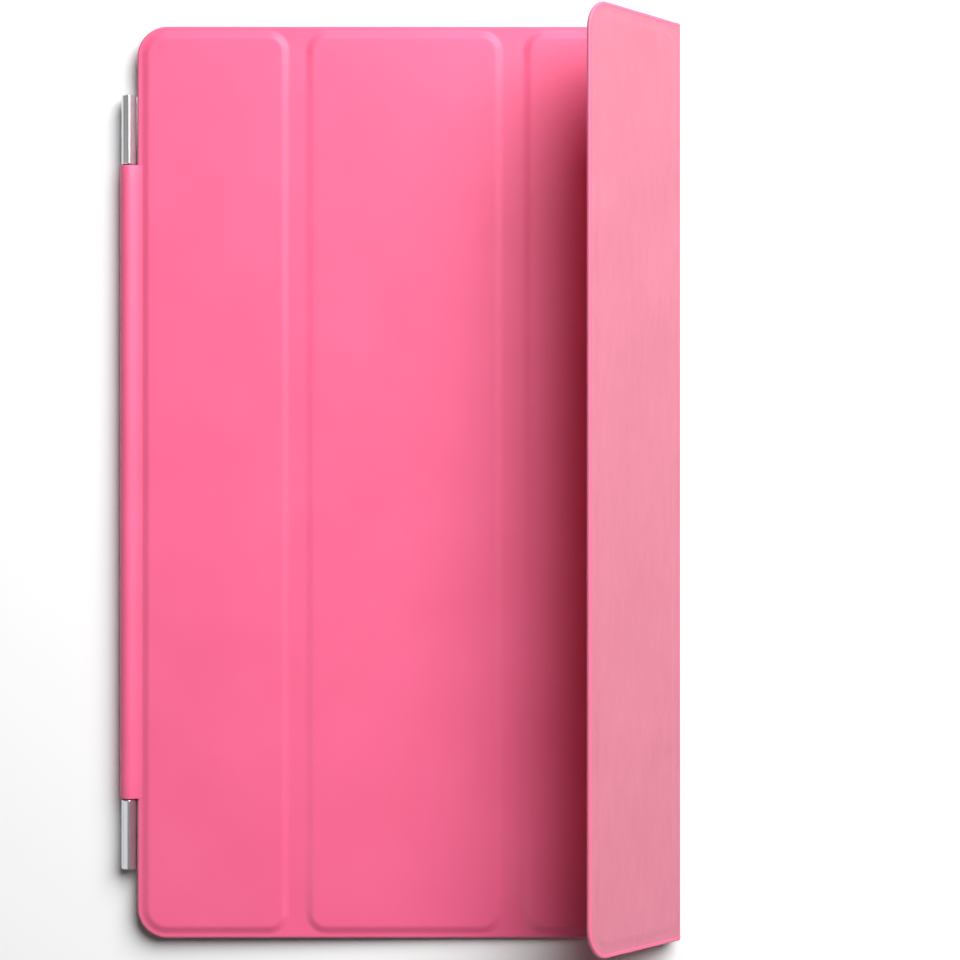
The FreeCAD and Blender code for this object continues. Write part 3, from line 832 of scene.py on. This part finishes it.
def makeFloor():
    half = 0.5 * studio["floorSize"]
    data = bpy.data.meshes.new("floor")
    corners = [(-half, -half, 0.0), (half, -half, 0.0), (half, half, 0.0), (-half, half, 0.0)]
    data.from_pydata(corners, [], [(0, 1, 2, 3)])
    floor = bpy.data.objects.new("floor", data)
    scene.collection.objects.link(floor)
    material = bpy.data.materials.new("paleFloor")
    material.use_nodes = True
    shader = material.node_tree.nodes["Principled BSDF"]
    shader.inputs["Base Color"].default_value = (*studio["floorColour"], 1.0)
    shader.inputs["Roughness"].default_value = studio["floorRoughness"]
    shader.inputs["Specular IOR Level"].default_value = 0.1
    data.materials.append(material)


def makeAreaLight(name, direction, distance, size, power):
    lamp = bpy.data.lights.new(name, "AREA")
    lamp.shape = "DISK"
    lamp.size = size
    lamp.energy = power
    light = bpy.data.objects.new(name, lamp)
    scene.collection.objects.link(light)
    aim = flapPoint(studio["cameraAcross"], 0.0, 0.0)
    away = Vector(direction).normalized()
    light.location = aim + away * distance
    light.rotation_euler = away.to_track_quat("Z", "Y").to_euler()
    return light


# A dim studio with a pale band round the horizon.
def makeWorld():
    world = bpy.data.worlds.new("studio")
    world.use_nodes = True
    tree = world.node_tree
    direction = node(tree, "ShaderNodeSeparateXYZ")
    fade = node(tree, "ShaderNodeMapRange", interpolation_type="SMOOTHSTEP")
    fade.inputs["From Max"].default_value = studio["horizonReach"]
    fade.inputs["To Min"].default_value = studio["horizon"]
    fade.inputs["To Max"].default_value = studio["overhead"]
    joinUp(tree, (node(tree, "ShaderNodeTexCoord").outputs["Generated"], direction.inputs[0]),
           (math2(tree, "ABSOLUTE", direction.outputs["Z"]), fade.inputs["Value"]),
           (fade.outputs["Result"], tree.nodes["Background"].inputs["Strength"]))
    tree.nodes["Background"].inputs["Color"].default_value = (*studio["worldColour"], 1.0)
    scene.world = world


def makeCamera():
    data = bpy.data.cameras.new("camera")
    data.sensor_width = 36.0
    data.lens = data.sensor_width * studio["cameraHeight"] / studio["fieldWidth"]
    data.clip_start, data.clip_end = 0.01, 20.0
    data.shift_y = studio["cameraShift"]
    camera = bpy.data.objects.new("camera", data)
    scene.collection.objects.link(camera)
    turn = Matrix((across, along, outward)).transposed().to_4x4()
    lowered = studio["cameraUp"] - studio["cameraShift"] * studio["fieldWidth"]
    place = flapPoint(studio["cameraAcross"], lowered, studio["fieldLevel"] + studio["cameraHeight"])
    camera.matrix_world = Matrix.Translation(place) @ turn
    scene.camera = camera


makeFloor()
makeAreaLight("key", studio["keyFrom"], studio["keyDistance"], studio["keySize"], studio["keyPower"])
reflector = makeAreaLight("reflector", studio["reflectorFrom"], studio["reflectorDistance"],
                          studio["reflectorSize"], studio["reflectorPower"])
reflector.visible_diffuse = False   # it only shows in the metal and the skin's gloss
makeWorld()
scene.view_settings.view_transform = "Standard"
makeCamera()

print("pieces placed")
